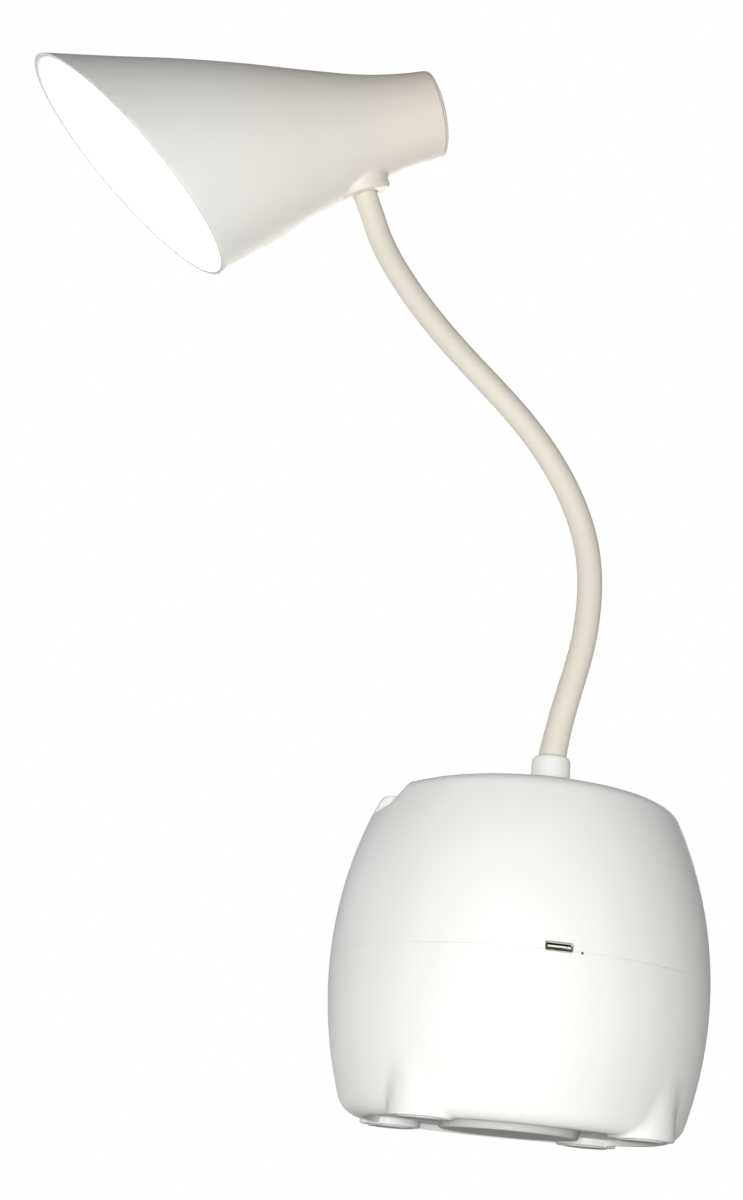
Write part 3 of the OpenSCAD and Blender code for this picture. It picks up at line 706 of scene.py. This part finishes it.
turned_piece("centre_pad", [(0, 0), (19.2, 0)] + arc(19.3, 0.7, 0.7, -90, 0, 6) + [(20, 2.29), (0, 2.29)], "rubber", "base", "bottom_pad", 128)
pv, pf = [], []
for sx in (-1, 1):
    for sy in (-1, 1):
        v, f = revolve([(0, 0), (6.0, 0)] + arc(6.1, 0.4, 0.4, -90, 0, 5) + [(6.5, 1.19), (0, 1.19)], 72)
        pf += [tuple(i + len(pv) for i in face) for face in f]
        pv += [(x + sx * FOOT_XY, y + sy * FOOT_XY, z) for x, y, z in v]
pads = poly_object("pads", pv, pf, [M["rubber"]], 32)
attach(pads, "base")
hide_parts("foot_pads")

# ------------------------------------------------------------------ collar, touch key, charging socket
DOME_TOP = DOME_Z + DOME_R


def on_dome(v):
    """Puts the collar round the neck, its foot on the dome."""
    v = v.copy()
    v[:, 1] += NECK_Y
    low = v[:, 2] < 95
    v[low, 2] = DOME_Z + np.sqrt(DOME_R ** 2 - v[low, 0] ** 2 - v[low, 1] ** 2) - 0.25
    return v


turned_piece("collar", [(5.05, 94), (5.72, 94), (5.7, 98), (5.64, 100.5), (5.58, 102.6)] + arc(4.1, 102.75, 1.46, 5, 82, 9)[0:0]
             + [(5.58 - 1.45 * (1 - math.cos(math.radians(a))), 102.75 + 1.6 * math.sin(math.radians(a))) for a in (10, 20, 30, 40, 50, 60, 70, 80, 88)]
             + [(4.05, 104.36), (3.98, 104.28), (3.95, 104.1), (3.95, 101), (4.5, 100), (5.05, 98.5)], "housing", "base", "neck_collar", 96, on_dome, 40)


def at_key(v):
    v = v.copy()
    v[:, 1] -= 24
    return v


turned_piece("touch_disc", [(0, 93.3), (8, 93.3), (8, 94.4)] + arc(7.6, 94.38, 0.4, 0, 90, 5) + [(7.0, 94.79), (6.2, 94.72), (4.5, 94.6), (2.4, 94.53), (0, 94.5)], "touch", "base", "touch_key", 96, at_key, 32)


def socket():
    """Shell, tongue and contacts of the charging socket; its deep inner walls, back wall and lower and side rims are
    black as painted shade.
    """
    outer = rounded([(USB_X - 3.7, 44.85), (USB_X + 3.7, 44.85), (USB_X + 3.7, 46.35), (USB_X + 3.3, 46.9), (USB_X - 3.3, 46.9), (USB_X - 3.7, 46.35)], [0.35, 0.35, 0.3, 0.3, 0.3, 0.3], 4)
    cxo = np.array(outer)
    mid = np.array([USB_X, 45.85])

    def inset(t):
        n = len(cxo)
        out = []
        for i in range(n):
            a, b = cxo[i - 1], cxo[(i + 1) % n]
            d = b - a
            d = d / np.linalg.norm(d)
            nrm = np.array([-d[1], d[0]])
            if nrm @ (mid - cxo[i]) < 0:
                nrm = -nrm
            out.append(cxo[i] + nrm * t)
        return out
    rings = [(0.0, 49.5), (0.0, 55.05), (0.06, 55.16), (0.16, 55.2), (0.24, 55.16), (0.29, 55.05), (0.29, 54.8), (0.29, 50.3)]
    loops = [[(x, y, z) for x, z in inset(t)] for t, y in rings]
    v, f = loft(loops)
    m = len(cxo)
    # slot 3 is black on the shell's deep inner walls and the back wall: painted shade of the cavity, not the metal's
    # own colour
    slot_of = [0] * (6 * m) + [3] * m + [0, 3]
    # rim and mouth faces low down or at the sides go black too: painted shade
    for k in range(m, 6 * m):
        x, _, z = np.mean([v[i] for i in f[k]], axis=0)
        if z < 45.4 or abs(x - USB_X) > 3.45:
            slot_of[k] = 3

    def block(x0, x1, y0, y1, z0, z1, m, e=0.06):
        base = len(v)
        ring = []
        for yy, s in ((y0, 0), (y1 - e, 0), (y1, e)):
            ring.append([(x0 + s, yy, z0 + s), (x1 - s, yy, z0 + s), (x1 - s, yy, z1 - s), (x0 + s, yy, z1 - s)])
        bv, bf = loft(ring)
        v.extend(bv)
        f.extend(tuple(i + base for i in face) for face in bf)
        slot_of.extend([m] * len(bf))
    block(USB_X - 2.1, USB_X + 3.0, 50.2, 54.8, 45.62, 46.12, 1)
    block(USB_X - 3.3, USB_X - 2.3, 50.2, 54.8, 45.5, 46.16, 1, 0.15)
    for k in range(5):
        c = USB_X + 0.45 + (k - 2) * 0.65
        block(c - 0.14, c + 0.14, 51, 54.6, 45.58, 45.63, 2, 0.01)
    ob = poly_object("charging_socket", v, f, [M["port"], M["tongue"], M["contact"], M["black"]], 35, slot_of)
    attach(ob, "base")
    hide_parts("micro_usb_socket")


socket()


def at_light(v):
    return np.stack([v[:, 0] + LIGHT_X, v[:, 2], v[:, 1] + 44.7], 1)


turned_piece("charge_light", [(0, 49.4), (0.33, 49.4), (0.33, 55.64), (0.28, 55.69), (0, 55.7)], "pipe", "base", "charge_light_pipe", 32, at_light, 60)


# ------------------------------------------------------------------ drawer
def front(p):
    d2 = np.stack([np.abs(p[:, 0]) - 33.5, np.abs(p[:, 2] - 25.25) - 15.25], 1) + 1.2
    edge = np.hypot(np.maximum(d2[:, 0], 0), np.maximum(d2[:, 1], 0)) + np.minimum(d2.max(axis=1), 0) - 1.2
    d = rmax(barrel(p), edge, 0.7)
    pocket = np.maximum(np.maximum(barrel(p) + WALL, edge + 1.6), p[:, 1] + 41.0)
    d = np.maximum(d, p[:, 1] + 41.4)
    post = np.minimum(np.hypot(np.abs(p[:, 0]) - 22, p[:, 2] - 25.2) - 3.4, np.hypot(p[:, 0], p[:, 2] - 25.2) - 4)
    return np.maximum(d, -np.maximum(pocket, -post))


shell("drawer_face", front, lines((-33.9, -31.4, 0.25), (-31.4, 31.4, 0.85), (31.4, 33.9, 0.25)), lines((-56.2, -50, 0.5), (-50, -41.2, 0.7)),
      lines((9.7, 12, 0.23), (12, 38.5, 0.8), (38.5, 40.8, 0.23)), "housing", "drawer", "drawer_front")


def tray(p):
    outside = box(p, (-32.6, -41.3, 10.45), (32.6, 18, 37.45), 0.9)
    inside = box(p, (-31, -39.5, 12.05), (31, 16.4, 60), 2.2)
    d = rmax(outside, -inside, 0.35)
    d = np.maximum(d, -np.maximum(np.hypot(p[:, 0], p[:, 2] - 25.2) - 3.2, p[:, 1] + 39.0))
    return d


shell("drawer_box", tray, lines((-32.9, -28, 0.4), (-28, 28, 1.1), (28, 32.9, 0.4)), lines((-41.6, -36.6, 0.4), (-36.6, 14, 1.1), (14, 18.3, 0.4)),
      lines((10.2, 15, 0.4), (15, 36.4, 1.1), (36.4, 37.8, 0.2)), "tray", "drawer", "drawer_tray")


def at_knob(v):
    return np.stack([v[:, 0], -v[:, 2], 25.2 + v[:, 1]], 1)


turned_piece("pull_knob", [(0, 53.3), (3.9, 53.3), (3.9, 54.5), (3.72, 54.75), (3.55, 55.0), (3.55, 55.2), (3.8, 55.32)] + arc(0, 60, 6.2, -47, 88, 30) + [(0, 66.2)], "housing", "drawer", "drawer_knob", 96, at_knob, 50)

# ------------------------------------------------------------------ neck
NJ = [(0, 29, 99), (-1.2, 29, 111), (-7.6, 29, 141), (-7.6, 29, 170), (3.6, 29, 197), (23, 29, 219), (45, 29, 241), (65, 27, 266.3)]
KNOTS = [(0, 29, 96.8), (0, 29, 101), (-0.7, 29, 107.8), (-3.6, 29, 122.6), (-7.1, 29, 138.2), (-8.7, 29, 153.8), (-7.6, 29, 169.3), (-2.8, 29, 184.5), (5.7, 29, 199.4),
         (17.5, 28.9, 213.7), (32.5, 28.7, 228.2), (47, 28.4, 243.1), (58.9, 28.1, 258.2), (65.6, 28.3, 269.2), (69.4, 29.6, 277.1), (72.5, 31.1, 283.3), (74.7, 32.2, 287.8)]


def spline(knots, step=0.8):
    """Natural cubic spline through the knots, as points about step apart."""
    k = np.array(knots, float)
    u = np.concatenate([[0], np.cumsum(np.linalg.norm(np.diff(k, axis=0), axis=1))])
    n, h = len(k), np.diff(u)
    A, b = np.eye(n), np.zeros((n, 3))
    for i in range(1, n - 1):
        A[i, i - 1], A[i, i], A[i, i + 1] = h[i - 1], 2 * (h[i - 1] + h[i]), h[i]
        b[i] = 6 * ((k[i + 1] - k[i]) / h[i] - (k[i] - k[i - 1]) / h[i - 1])
    m = np.linalg.solve(A, b)
    t = np.linspace(0, u[-1], 4000)
    i = np.clip(np.searchsorted(u, t, side="right") - 1, 0, n - 2)
    a, c = (u[i + 1] - t)[:, None], (t - u[i])[:, None]
    hh = h[i][:, None]
    p = (m[i] * a ** 3 + m[i + 1] * c ** 3) / (6 * hh) + (k[i] / hh - m[i] * hh / 6) * a + (k[i + 1] / hh - m[i + 1] * hh / 6) * c
    s = np.concatenate([[0], np.cumsum(np.linalg.norm(np.diff(p, axis=0), axis=1))])
    g = np.linspace(0, s[-1], int(s[-1] / step) + 1)
    return np.stack([np.interp(g, s, p[:, j]) for j in range(3)], 1)


def frames(c):
    """Tangents and two cross directions carried along the curve without twist."""
    t = np.gradient(c, axis=0)
    t /= np.linalg.norm(t, axis=1, keepdims=True)
    a = np.array([0, 1.0, 0])
    out = []
    for v in t:
        a = a - v * (a @ v)
        a /= np.linalg.norm(a)
        out.append((v, a.copy(), np.cross(v, a)))
    return out


LINE = spline(KNOTS)
FRAMES = frames(LINE)
SKIN = 3.78 + 0.27 * np.exp(-np.maximum(LINE[:, 2] - 105, 0) / 8.0)


def tube(i0, i1, radii, m=56, dip=0.5):
    """Closed tube along the neck line from sample i0 to i1; its ends dip inwards."""
    v, f = [], []
    for i in range(i0, i1 + 1):
        t, a, b = FRAMES[i]
        for k in range(m):
            w = 2 * math.pi * k / m
            v.append(LINE[i] + radii[i] * (math.cos(w) * a + math.sin(w) * b))
    n = i1 - i0
    for j in range(n):
        for k in range(m):
            kk = (k + 1) % m
            f.append((j * m + k, j * m + kk, (j + 1) * m + kk, (j + 1) * m + k))
    v.append(LINE[i0] + FRAMES[i0][0] * dip)
    v.append(LINE[i1] - FRAMES[i1][0] * dip)
    for k in range(m):
        kk = (k + 1) % m
        f.append((len(v) - 2, kk, k))
        f.append((len(v) - 1, n * m + k, n * m + kk))
    return np.array(v), f


def nearest(p):
    return int(np.argmin(np.linalg.norm(LINE - np.array(p, float), axis=1)))


CUTS = [0] + [nearest((np.array(NJ[k]) + np.array(NJ[k + 1])) / 2) for k in range(1, 7)] + [len(LINE) - 1]
JOINTS = [nearest(NJ[k]) for k in range(1, 8)]
for k in range(7):
    i0, i1 = CUTS[k], CUTS[k + 1]
    v, f = tube(i0, i1, SKIN)
    ob = poly_object(f"neck_skin_{k + 1}", v, f, [M["neck"]], 40)
    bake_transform(ob)
    nodes = {0: ["neck_base_end"], 6: ["neck_sleeve_6", "neck_head_end"]}.get(k, [f"neck_sleeve_{k}"])
    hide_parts(*nodes)
for k in range(1, 7):
    i0, i1 = JOINTS[k - 1] + 1, JOINTS[k] - 6
    v, f = tube(i0, i1, np.full(len(LINE), 2.2), 32, -0.3)
    ob = poly_object(f"neck_core_rod_{k}", v, f, [M["steel"]], 40)
    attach(ob, f"neck_length_{k}")
    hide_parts(f"neck_core_{k}")

# ------------------------------------------------------------------ head
HEAD_AT = np.array([52.8, 37.2, 314])
HEAD_R = np.stack([turned(e, -13.8, 22.9, -3) for e in ((1, 0, 0), (0, 1, 0), (0, 0, 1))], 1)
HS = np.array([0, 20, 40, 60, 80, 100, 126.0])
HR = np.array([14, 16.6, 22.1, 28.2, 33.6, 38.3, 44.8])
HM = np.array([0.05] + [(HR[i + 1] - HR[i - 1]) / (HS[i + 1] - HS[i - 1]) for i in range(1, 6)] + [0.26])
MOUTH_N = np.array([math.cos(math.radians(27.5)), 0, -math.sin(math.radians(27.5))])
BOSS_S, BOSS_Z, BOSS_R = 30.2, -22.2, 8.3
BOSS_COS, BOSS_SIN = math.cos(math.radians(5)), math.sin(math.radians(5))


def to_world(v):
    return v @ HEAD_R.T + HEAD_AT


def turn_head(v):
    return v @ HEAD_R.T


def horn_r(s):
    s = np.clip(s, 0, 126)
    i = np.clip(np.searchsorted(HS, s, side="right") - 1, 0, 5)
    h = HS[i + 1] - HS[i]
    u = (s - HS[i]) / h
    r = (2 * u ** 3 - 3 * u ** 2 + 1) * HR[i] + (u ** 3 - 2 * u ** 2 + u) * h * HM[i] + (3 * u ** 2 - 2 * u ** 3) * HR[i + 1] + (u ** 3 - u ** 2) * h * HM[i + 1]
    m = ((6 * u ** 2 - 6 * u) * HR[i] + (6 * u - 6 * u ** 2) * HR[i + 1]) / h + (3 * u ** 2 - 4 * u + 1) * HM[i] + (3 * u ** 2 - 2 * u) * HM[i + 1]
    return r, m


def horn(p):
    r, m = horn_r(p[:, 0])
    return (np.hypot(p[:, 1], p[:, 2]) - r) / np.sqrt(1 + m * m)


def past_mouth(p):
    return (p - np.array([99.5, 0, 0])) @ MOUTH_N


def head_shade(p):
    d = horn(p) + SHY
    around = np.hypot(p[:, 0] - BOSS_S, p[:, 1])
    up = p[:, 2] - BOSS_Z - 1.2
    across, along_ = p[:, 1] * BOSS_COS - up * BOSS_SIN, p[:, 1] * BOSS_SIN + up * BOSS_COS
    boss = rmax(np.hypot(p[:, 0] - BOSS_S, across) - BOSS_R, -along_, 1.3)
    boss = np.maximum(boss, p[:, 2] + 8)
    solid = smin(d, boss, 1.1)
    solid = rmax(solid, past_mouth(p), 0.45)
    solid = rmax(solid, 1.2 - p[:, 0], 0.45)
    thin = 1.6 - 0.38 * np.clip((past_mouth(p) + 4.2) / 2.6, 0, 1)
    out = smax(solid, -(d + thin), 0.25)
    nut = np.maximum(np.maximum(around - 8.6, p[:, 2] + 15.8), d + 0.8)
    out = np.minimum(out, np.maximum(nut, BOSS_Z + 1 - p[:, 2]))
    return smax(out, 3.98 - np.where(p[:, 2] < 0, around, 99), 0.2)


g = 0.78
hx = lines((0.6, 3.0, 0.3), (3.0, 20, g), (20, 40.4, 0.62), (40.4, 124, g))
hy = lines((-46, -9.4, g), (-9.4, 9.4, 0.62), (9.4, 46, g))
hz = lines((-46, -24.4, g), (-24.4, -15, 0.5), (-15, 46, g))
shell("shade_shell", head_shade, hx, hy, hz, "shade shade_in", "head", "shade", to_world, turn_head, lambda p: horn(p) < -1.12)


def on_axis(v):
    """A piece turned round z laid along the shade's axis."""
    return to_world(np.stack([v[:, 2], v[:, 1], -v[:, 0]], 1))


turned_piece("end_cap", [(0, -0.68), (5, -0.62), (9, -0.42), (11.6, -0.12), (12.8, 0.12), (13.4, 0.36), (13.75, 0.66), (13.86, 0.95), (13.8, 1.08), (12.3, 1.1), (12.3, 5), (10.8, 5), (10.8, 1.5), (0, 1.5)],
             "shade", "head", "rear_cap", 128, on_axis, 40)


def lit_disc():
    """The opal disc inside the mouth, on the mouth's slant."""
    n = 144
    edge = []
    for k in range(n):
        w = 2 * math.pi * k / n
        lo, hi = 55.0, 125.0
        for _ in range(40):
            s = (lo + hi) / 2
            r, m = horn_r(np.array([s]))
            rho = float(r[0] - 1.42 * math.sqrt(1 + float(m[0]) ** 2))
            q = np.array([[s, rho * math.cos(w), rho * math.sin(w)]])
            if float(past_mouth(q)[0]) < -0.98:
                lo = s
            else:
                hi = s
        edge.append(q[0])
    edge = np.array(edge)
    mid = edge.mean(axis=0)
    loops = [mid + (edge - mid) * 0.985 - MOUTH_N * 1.95, mid + (edge - mid) * 0.995 - MOUTH_N * 1.7, mid + (edge - mid) * 0.998 - MOUTH_N * 0.3, mid + (edge - mid) * 0.99 - MOUTH_N * 0.06]
    for t in (0.96, 0.9, 0.8, 0.68, 0.54, 0.4, 0.26, 0.12):
        loops.append(mid + (edge - mid) * t + MOUTH_N * 0.35 * (1 - t * t))
    v, f = loft([to_world(l) for l in loops])
    ob = poly_object("lit_disc", v, f, [M["diffuser"]], 40)
    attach(ob, "head")
    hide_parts("diffuser")


lit_disc()

# ------------------------------------------------------------------ materials of the carried-over CAD nodes
BY_NODE = {
    "shade": "shade", "rear_cap": "shade", "neck_collar": "housing", "drawer_front": "housing", "drawer_tray": "tray", "drawer_knob": "housing",
    "bottom_cover": "cover", "bottom_pad": "rubber", "foot_pads": "rubber", "cover_screws": "steel", "housing_screws": "steel", "ballast_block": "steel",
    "battery_cell": "wrap", "battery_cradle": "black", "battery_strap": "strap", "main_circuit_board": "pcb", "board_parts": "black", "board_screws": "steel",
    "micro_usb_socket": "plated", "charge_light_pipe": "pipe", "touch_key": "touch", "touch_spring": "brass", "touch_board": "pcb", "neck_base_ferrule": "plated",
    "neck_base_nut": "plated", "neck_base_end": "neck", "drawer_runners": "grey", "knob_screw": "steel", "drawer_screws": "steel", "neck_head_end": "neck",
    "head_ferrule": "plated", "head_nut": "plated", "led_board": "alu", "led_chips": "chips", "led_board_screws": "steel", "reflector": "shade_in",
    "diffuser": "diffuser", "lamp_wires": "wire",
}
for i in range(1, 7):
    BY_NODE[f"neck_sleeve_{i}"] = "neck"
    BY_NODE[f"neck_core_{i}"] = "steel"
for name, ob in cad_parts.items():
    mat = M[BY_NODE.get(name, "housing")]
    ob.data.materials.clear()
    ob.data.materials.append(mat)
    ob.data.polygons.foreach_set("material_index", np.zeros(len(ob.data.polygons), np.int32))

# ------------------------------------------------------------------ floor and light
floor_mesh = bpy.data.meshes.new("floor")
floor_mesh.from_pydata([(-40, -40, 0), (40, -40, 0), (40, 40, 0), (-40, 40, 0)], [], [(0, 1, 2, 3)])
floor = bpy.data.objects.new("floor", floor_mesh)
floor.location.z = -0.0002
scene.collection.objects.link(floor)
fm = Mat("floor_pale")
fm.set(color=fm.ramp(fm.noise(2.0, 4), (0.3, srgb(226, 226, 225)), (0.7, srgb(233, 233, 232))), rough=0.7,
       normal=fm.bump(fm.noise(300, 3), 0.04, 0.0005))
clear = fm.new("ShaderNodeBsdfTransparent")
side = fm.new("ShaderNodeNewGeometry")
mixer = fm.new("ShaderNodeMixShader")
fm.link(side.outputs["Backfacing"], mixer.inputs[0])
fm.link(fm.b.outputs[0], mixer.inputs[1])
fm.link(clear.outputs[0], mixer.inputs[2])
fm.link(mixer.outputs[0], fm.t.nodes["Material Output"].inputs["Surface"])
floor_mesh.materials.append(fm.mat)
floor.visible_shadow = False

world = bpy.data.worlds.new("studio")
world.use_nodes = True
scene.world = world
wt = world.node_tree
bg = wt.nodes["Background"]
bg.inputs["Color"].default_value = (1, 1, 1, 1)
bg.inputs["Strength"].default_value = 0.245
seen = wt.nodes.new("ShaderNodeBackground")
seen.inputs["Color"].default_value = (1, 1, 1, 1)
seen.inputs["Strength"].default_value = 1.0
lp = wt.nodes.new("ShaderNodeLightPath")
wm = wt.nodes.new("ShaderNodeMixShader")
wt.links.new(lp.outputs["Is Camera Ray"], wm.inputs[0])
wt.links.new(bg.outputs[0], wm.inputs[1])
wt.links.new(seen.outputs[0], wm.inputs[2])
wt.links.new(wm.outputs[0], wt.nodes["World Output"].inputs["Surface"])


def area(name, at, to, size, power, color=(1, 1, 1)):
    d = bpy.data.lights.new(name, "AREA")
    d.shape = "DISK"
    d.size = size
    d.energy = power
    d.color = color
    o = bpy.data.objects.new(name, d)
    scene.collection.objects.link(o)
    o.location = at
    o.rotation_euler = (Vector(to) - Vector(at)).to_track_quat("-Z", "Y").to_euler()
    return o


area("flash", (0.112, 0.5, -0.028), (0.02, 0.0, 0.22), 0.05, 1.9)
area("front_box", (-0.45, -1.2, 0.55), (0, 0, 0.12), 0.5, 6.0, (1.0, 0.975, 0.95))
area("front_fill", (0.9, -0.9, 0.46), (0, 0, 0.12), 0.5, 1.7, (0.97, 0.985, 1.0))
sun = bpy.data.lights.new("key", "SUN")
sun.energy = 1.25
sun.angle = math.radians(9)
sun_ob = bpy.data.objects.new("key", sun)
scene.collection.objects.link(sun_ob)
sun_ob.rotation_euler = Vector((0.085, 0.92, -0.385)).to_track_quat("-Z", "Y").to_euler()
area("low_fill", (0.4, 0.3, -0.8), (0, 0, 0.16), 0.8, 1.5)

scene.view_settings.view_transform = "Standard"
scene.view_settings.look = "None"
scene.view_settings.exposure = 0.0
